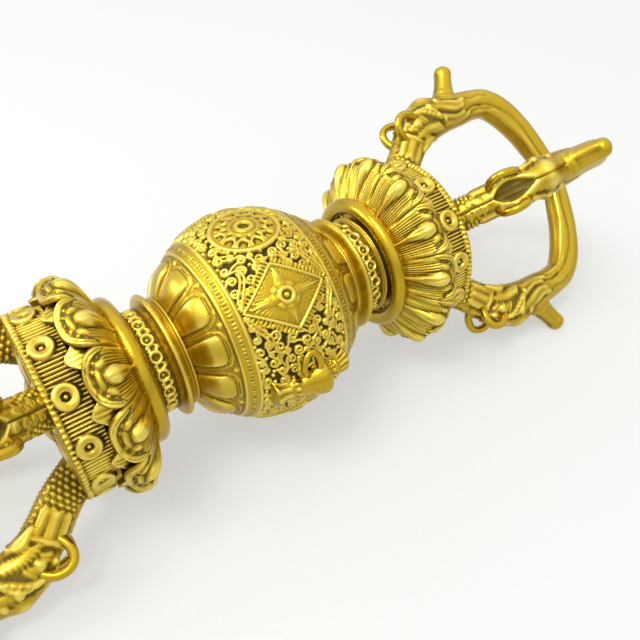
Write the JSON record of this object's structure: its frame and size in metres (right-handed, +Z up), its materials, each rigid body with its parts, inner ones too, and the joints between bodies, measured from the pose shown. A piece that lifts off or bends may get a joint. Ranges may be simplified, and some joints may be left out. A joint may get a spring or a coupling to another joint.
{
  "type": "vajra",
  "caption": "Cast brass ritual sceptre: a relief-covered globe between lotus crowns, with makara-headed prongs closing at both ends.",
  "frame": {"origin": "on the floor below the middle of the globe, where the vajra lies on four horn tips", "axes": "+X along the shaft, +Z up, the camera's side of the picture towards -Y"},
  "size_m": [0.2738, 0.0718, 0.0711],
  "materials": {
    "brass": "satin golden brass, rubbed bright on the high spots, with brown patina in the recesses"
  },
  "bodies": {
    "root": {"vajra": "brass"}
  },
  "joints": []
}
